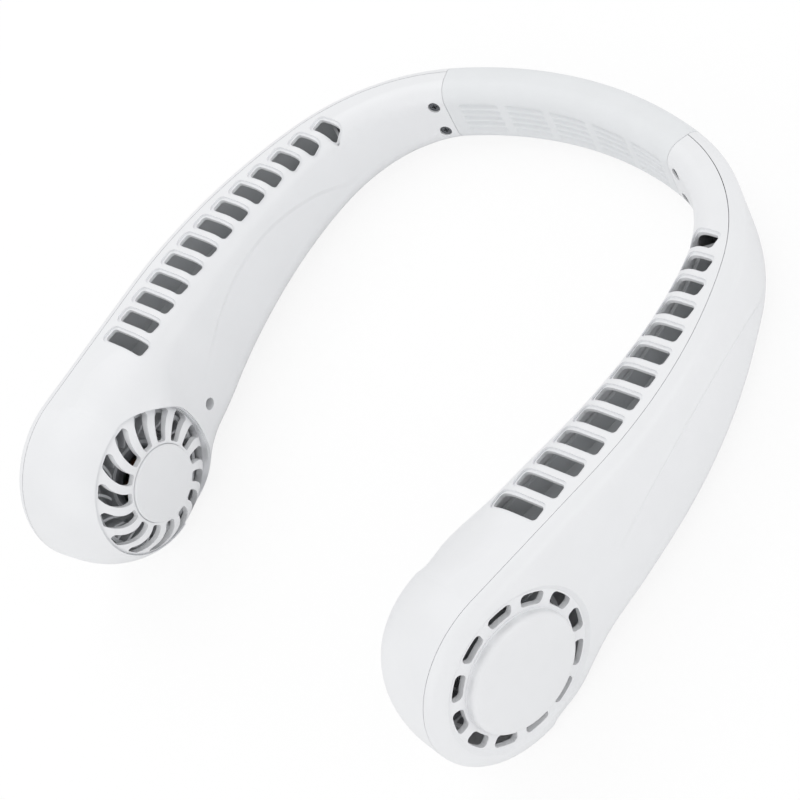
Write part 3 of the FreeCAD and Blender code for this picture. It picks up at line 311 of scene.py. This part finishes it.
@dataclass(frozen=True)
class Bridge:
    """Soft bridge behind the neck, made in two halves."""

    stance: Stance
    bend_mm: float = 141.366
    centre_y_mm: float = 30.4495
    half_deg: float = 20.4
    depth_mm: float = 13.3
    height_mm: float = 23.0
    edge_mm: float = 4.3
    roll_mm: float = 6.0
    joint_gap_mm: float = 0.15
    column_deg: float = 0.15
    strip_steps: int = 2
    roll_steps: int = 12
    neck_steps: int = 48
    edge_steps: int = 8
    outer_steps: int = 10
    groove_rows: int = 5
    groove_groups: int = 5
    groove_first_mm: float = 6.8
    groove_pitch_mm: float = 2.45
    groove_width_mm: float = 1.2
    groove_soft_mm: float = 0.3
    groove_sink_mm: float = 0.9
    group_pitch_deg: float = 7.6
    group_span_deg: float = 6.1
    group_soft_deg: float = 0.35
    flex_start_deg: float = 2.0
    flex_end_deg: float = 20.0

    def point(self, degrees: float, depth: float, z: float, side: Side) -> Vector:
        """Return a standing point of the bridge.

        Args:
            degrees: angle from the middle of the bridge.
            depth: millimetres inside the outer face.
            z: millimetres above the flat top strip.
            side: arm towards which the angle is counted.
        """
        angle, radius = math.radians(degrees), self.bend_mm - depth
        x = side.value * radius * math.sin(angle)
        return self.stance.place(x, self.centre_y_mm + radius * math.cos(angle), z)

    def groove(self, degrees: float, z: float) -> float:
        """Return how deep the soft grooves lie below the neck face, in millimetres."""
        half, soft = self.groove_width_mm / 2, self.groove_soft_mm
        row_share = 0.0
        for row in range(self.groove_rows):
            away = abs(z + self.groove_first_mm + row * self.groove_pitch_mm)
            row_share = max(row_share, 1 - smooth_step(half - soft, half + soft, away))
        nearest = round(degrees / self.group_pitch_deg) * self.group_pitch_deg
        half_span = self.group_span_deg / 2
        if abs(nearest) > self.group_pitch_deg * (self.groove_groups - 1) / 2 + self.group_soft_deg:
            return 0.0
        end_share = 1 - smooth_step(half_span - self.group_soft_deg, half_span + self.group_soft_deg / 2,
                                    abs(degrees - nearest))
        return self.groove_sink_mm * row_share * end_share

    def outline(self) -> list[tuple[float, float, bool]]:
        """Return the closed section as depth, height and whether it is on the neck face."""
        depth, height, edge, roll = self.depth_mm, self.height_mm, self.edge_mm, self.roll_mm

        def quarter(corner_d: float, corner_z: float, radius: float, start: float, steps: int) -> list:
            turns = [math.radians(start - 90 * i / steps) for i in range(steps)]
            return [(corner_d + radius * math.cos(t), corner_z + radius * math.sin(t), corner_d > edge)
                    for t in turns]

        def run(first: tuple, last: tuple, steps: int, neck: bool) -> list:
            return [(first[0] + (last[0] - first[0]) * i / steps,
                     first[1] + (last[1] - first[1]) * i / steps, neck) for i in range(steps)]

        points = run((edge, 0.0), (depth - roll, 0.0), self.strip_steps, False)
        points += quarter(depth - roll, -roll, roll, 90, self.roll_steps)
        points += run((depth, -roll), (depth, roll - height), self.neck_steps, True)
        points += quarter(depth - roll, roll - height, roll, 0, self.roll_steps)
        points += run((depth - roll, -height), (edge, -height), self.strip_steps, False)
        points += quarter(edge, edge - height, edge, -90, self.edge_steps)
        points += run((0.0, edge - height), (0.0, -edge), self.outer_steps, False)
        points += quarter(edge, -edge, edge, 180, self.edge_steps)
        return points

    def half_mesh(self, side: Side) -> bpy.types.Mesh:
        """Build one half of the sleeve.

        Args:
            side: arm that this half reaches to.

        Returns:
            A mesh open at the middle, where the halves meet, and closed at the arm.
        """
        last_deg = self.half_deg - math.degrees(self.joint_gap_mm / self.bend_mm)
        columns = math.ceil(last_deg / self.column_deg)
        outline = self.outline()
        shape = bmesh.new()
        rings = []
        for column in range(columns + 1):
            degrees = last_deg * column / columns
            ring = []
            for depth, z, neck in outline:
                sunk = depth - self.groove(degrees, z) if neck else depth
                ring.append(shape.verts.new(self.point(degrees, sunk, z, side)))
            rings.append(ring)
        count = len(outline)
        for first, second in zip(rings, rings[1:]):
            for i in range(count):
                following = (i + 1) % count
                shape.faces.new((first[i], first[following], second[following], second[i]))
        shape.faces.new(rings[-1])
        bmesh.ops.recalc_face_normals(shape, faces=shape.faces)
        for face in shape.faces:
            face.smooth = len(face.verts) == 4
        mesh = bpy.data.meshes.new(f"{side.word}_sleeve_half")
        shape.to_mesh(mesh)
        shape.free()
        return mesh

    def core_mesh(self, node: str, side: Side) -> bpy.types.Mesh:
        """Cut a copy of an inner piece at the middle of the bridge.

        Args:
            node: CAD node that runs through the bridge.
            side: half to keep.

        Returns:
            The half on that side.
        """
        shape = bmesh.new()
        shape.from_mesh(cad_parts[node].data)
        geometry = [*shape.verts, *shape.edges, *shape.faces]
        bmesh.ops.bisect_plane(shape, geom=geometry, plane_co=(0, 0, 0), plane_no=(side.value, 0, 0),
                               clear_inner=True)
        mesh = bpy.data.meshes.new(f"{side.word}_{node}")
        shape.to_mesh(mesh)
        shape.free()
        return mesh

    def dress(self, wardrobe: Wardrobe) -> None:
        """Build both halves of the bridge."""
        for side in Side:
            pieces = {
                "bridge_sleeve": (self.half_mesh(side), Finishes.SILICONE, "bridge_rubber"),
                "spring_strip": (self.core_mesh("spring_strip", side), Finishes.ROLLED_STEEL, "core_steel"),
                "bridge_cable": (self.core_mesh("bridge_cable", side), Finishes.CABLE_PVC, "cable_rubber"),
            }
            start = self.point(self.flex_start_deg, self.depth_mm / 2, -self.height_mm / 2, side)
            end = self.point(self.flex_end_deg, self.depth_mm / 2, -self.height_mm / 2, side)
            for node, (mesh, finish, slot) in pieces.items():
                piece = new_piece(f"{side.word}_half_{node}", mesh)
                wardrobe.dress(piece, finish)
                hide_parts(node)
                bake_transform(piece)


@dataclass(frozen=True)
class Arm:
    """One arm with its shells, blower, cell and wiring, all kept from the CAD."""

    side: Side

    def finishes(self) -> dict[str, Finishes]:
        """Return the finish of each node of the arm."""
        return {
            "inner_shell": Finishes.WHITE_ABS, "outer_cover": Finishes.WHITE_ABS,
            "intake_cap": Finishes.DISC_ABS, "grille_cap": Finishes.DISC_ABS,
            "impeller": Finishes.WHEEL_NYLON, "rotor_can": Finishes.ROLLED_STEEL,
            "rotor_magnet": Finishes.FERRITE, "motor_shaft": Finishes.GROUND_STEEL,
            "bearing_bush": Finishes.BRONZE, "motor_base": Finishes.GREY_NYLON,
            "motor_stator": Finishes.ROLLED_STEEL, "motor_windings": Finishes.COPPER_WIRE,
            # The air ducts' grey is partly painted shade of the deep slots
            "motor_board": Finishes.CIRCUIT_BOARD, "air_duct": Finishes.DUCT_GREY_PAINTED_SHADE,
            "battery": Finishes.SHRINK_WRAP, "arm_screws": Finishes.BLACK_OXIDE,
            "bridge_plug": Finishes.GREY_NYLON, "arm_wire": Finishes.CABLE_PVC,
        }

    def dress(self, wardrobe: Wardrobe) -> None:
        """Put the finishes on the arm's nodes."""
        for name, finish in self.finishes().items():
            wardrobe.dress(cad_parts[f"{self.side.word}_{name}"], finish)


@dataclass(frozen=True)
class Controls:
    """Button, lights, board and charging socket in the left arm."""

    def dress(self, wardrobe: Wardrobe) -> None:
        """Put the finishes on the control nodes."""
        finishes = {
            "power_button": Finishes.DISC_ABS, "control_board": Finishes.CIRCUIT_BOARD,
            "push_switch": Finishes.GREY_NYLON, "indicator_lenses": Finishes.CLEAR_PC,
            "charging_socket": Finishes.GROUND_STEEL,
        }
        for node, finish in finishes.items():
            wardrobe.dress(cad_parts[node], finish)


@dataclass(frozen=True)
class Softbox:
    """A large square soft light, aimed by shares of the camera's right, up and back."""

    name: str
    aim: tuple[float, float, float]
    reach_m: float
    size_m: float
    watts: float


SOFTBOXES = (
    Softbox("key_softbox", aim=(-0.6, 0.75, 0.25), reach_m=1.1, size_m=0.9, watts=2.4),
    Softbox("front_softbox", aim=(-0.65, -0.55, 0.55), reach_m=1.1, size_m=0.9, watts=2.0),
    Softbox("fill_softbox", aim=(0.8, 0.1, 0.6), reach_m=1.3, size_m=1.0, watts=4.0),
)


@dataclass(frozen=True)
class Studio:
    """Pale floor, soft light and the camera of the photograph."""

    stance: Stance
    azimuth_deg: float = 62.43
    elevation_deg: float = 43.88
    roll_deg: float = -31.35
    distance_mm: float = 616.2
    target_mm: tuple[float, float, float] = (25.02, 45.9, 0.0)
    focal_px: float = 2212.0
    frame_px: float = 800.0
    sensor_mm: float = 36.0
    clip_m: tuple[float, float] = (0.01, 50.0)
    floor_m: float = 12.0
    floor_drop_mm: float = 0.5
    floor_squares: int = 8
    floor_colour: str = "#f4f4f4"
    floor_glow: float = 1.03
    floor_glow_share: float = 0.82
    room_light: float = 0.74
    room_seen: float = 1.0

    def axes(self) -> tuple[Vector, Vector, Vector]:
        """Return the camera's right, up and back directions as the fan stands."""
        az, el, roll = (math.radians(v) for v in (self.azimuth_deg, self.elevation_deg, self.roll_deg))
        back = Vector((math.sin(az) * math.cos(el), -math.cos(az) * math.cos(el), math.sin(el)))
        level = Vector((math.cos(az), math.sin(az), 0))
        upright = back.cross(level)
        right = math.cos(roll) * level + math.sin(roll) * upright
        up = math.cos(roll) * upright - math.sin(roll) * level
        turn = self.stance.matrix().to_3x3()
        return turn @ right, turn @ up, turn @ back

    def add_camera(self) -> None:
        """Set the photograph's camera."""
        right, up, back = self.axes()
        place = self.stance.place(*self.target_mm) + back * self.distance_mm * MM
        data = bpy.data.cameras.new("photo_camera")
        data.sensor_width = self.sensor_mm
        data.lens = self.focal_px / self.frame_px * self.sensor_mm
        data.clip_start, data.clip_end = self.clip_m
        camera = bpy.data.objects.new("photo_camera", data)
        turn = Matrix((right, up, back)).transposed().to_4x4()
        camera.matrix_world = Matrix.Translation(place) @ turn
        bpy.context.scene.collection.objects.link(camera)
        bpy.context.scene.camera = camera

    def add_softbox(self, box: Softbox) -> None:
        """Hang a large soft light.

        Args:
            box: where it hangs, how large it is and its power.
        """
        right, up, back = self.axes()
        away = (box.aim[0] * right + box.aim[1] * up + box.aim[2] * back).normalized()
        data = bpy.data.lights.new(box.name, "AREA")
        data.size, data.energy = box.size_m, box.watts
        light = bpy.data.objects.new(box.name, data)
        light.location = self.stance.place(*self.target_mm) + away * box.reach_m
        light.rotation_mode = "QUATERNION"
        light.rotation_quaternion = away.to_track_quat("Z", "Y")
        bpy.context.scene.collection.objects.link(light)

    def white_to_camera(self, tree: bpy.types.NodeTree) -> bpy.types.NodeSocket:
        """Return 1 where the camera, straight or through clear plastic, looks at the surroundings."""
        path = add_node(tree, "ShaderNodeLightPath")
        seen = add_node(tree, "ShaderNodeMath", {"operation": "MAXIMUM"}, {
            0: path.outputs["Is Camera Ray"], 1: path.outputs["Is Transmission Ray"]})
        return seen.outputs["Value"]

    def add_floor(self) -> None:
        """Lay a pale floor that keeps the fan's soft shadow."""
        shape = bmesh.new()
        bmesh.ops.create_grid(shape, x_segments=self.floor_squares, y_segments=self.floor_squares,
                              size=self.floor_m / 2)
        mesh = bpy.data.meshes.new("floor")
        shape.to_mesh(mesh)
        shape.free()
        floor = new_piece("floor", mesh)
        floor.location.z = -self.floor_drop_mm * MM
        # White background paper, lit from behind so that it prints nearly white
        material = bpy.data.materials.new("white_paper_floor")
        material.use_nodes = True
        tree = material.node_tree
        tree.nodes.clear()
        paper = add_node(tree, "ShaderNodeBsdfDiffuse", {"in:Color": linear_from_hex(self.floor_colour)})
        glow = add_node(tree, "ShaderNodeEmission", {"in:Color": WHITE, "in:Strength": self.floor_glow})
        share = add_node(tree, "ShaderNodeMath", {"operation": "MULTIPLY"}, {0: self.white_to_camera(tree)})
        share.inputs[1].default_value = self.floor_glow_share
        mix = add_node(tree, "ShaderNodeMixShader", links={
            "Fac": share.outputs["Value"], 1: paper.outputs["BSDF"], 2: glow.outputs["Emission"]})
        add_node(tree, "ShaderNodeOutputMaterial", links={"Surface": mix.outputs["Shader"]})
        mesh.materials.append(material)

    def add_world(self) -> None:
        """Fill the room with even white light."""
        world = bpy.data.worlds.new("white_room")
        bpy.context.scene.world = world
        world.use_nodes = True
        tree = world.node_tree
        ground = tree.nodes["Background"]
        strength = add_node(tree, "ShaderNodeMapRange", {
            "in:To Min": self.room_light, "in:To Max": self.room_seen},
            {"Value": self.white_to_camera(tree)})
        tree.links.new(strength.outputs["Result"], ground.inputs["Strength"])
        ground.inputs["Color"].default_value = WHITE

    def build(self) -> None:
        """Set up the whole studio."""
        bpy.context.scene.view_settings.view_transform = "Standard"
        self.add_camera()
        self.add_world()
        self.add_floor()
        for box in SOFTBOXES:
            self.add_softbox(box)


def main() -> None:
    """Dress the fan and set up the studio."""
    logging.basicConfig(level=logging.INFO, format="%(name)s %(message)s")
    stance = Stance()
    wardrobe = Wardrobe()
    for side in Side:
        Arm(side).dress(wardrobe)
    Controls().dress(wardrobe)
    Bridge(stance).dress(wardrobe)
    Studio(stance).build()


if __name__ == "__main__":
    main()
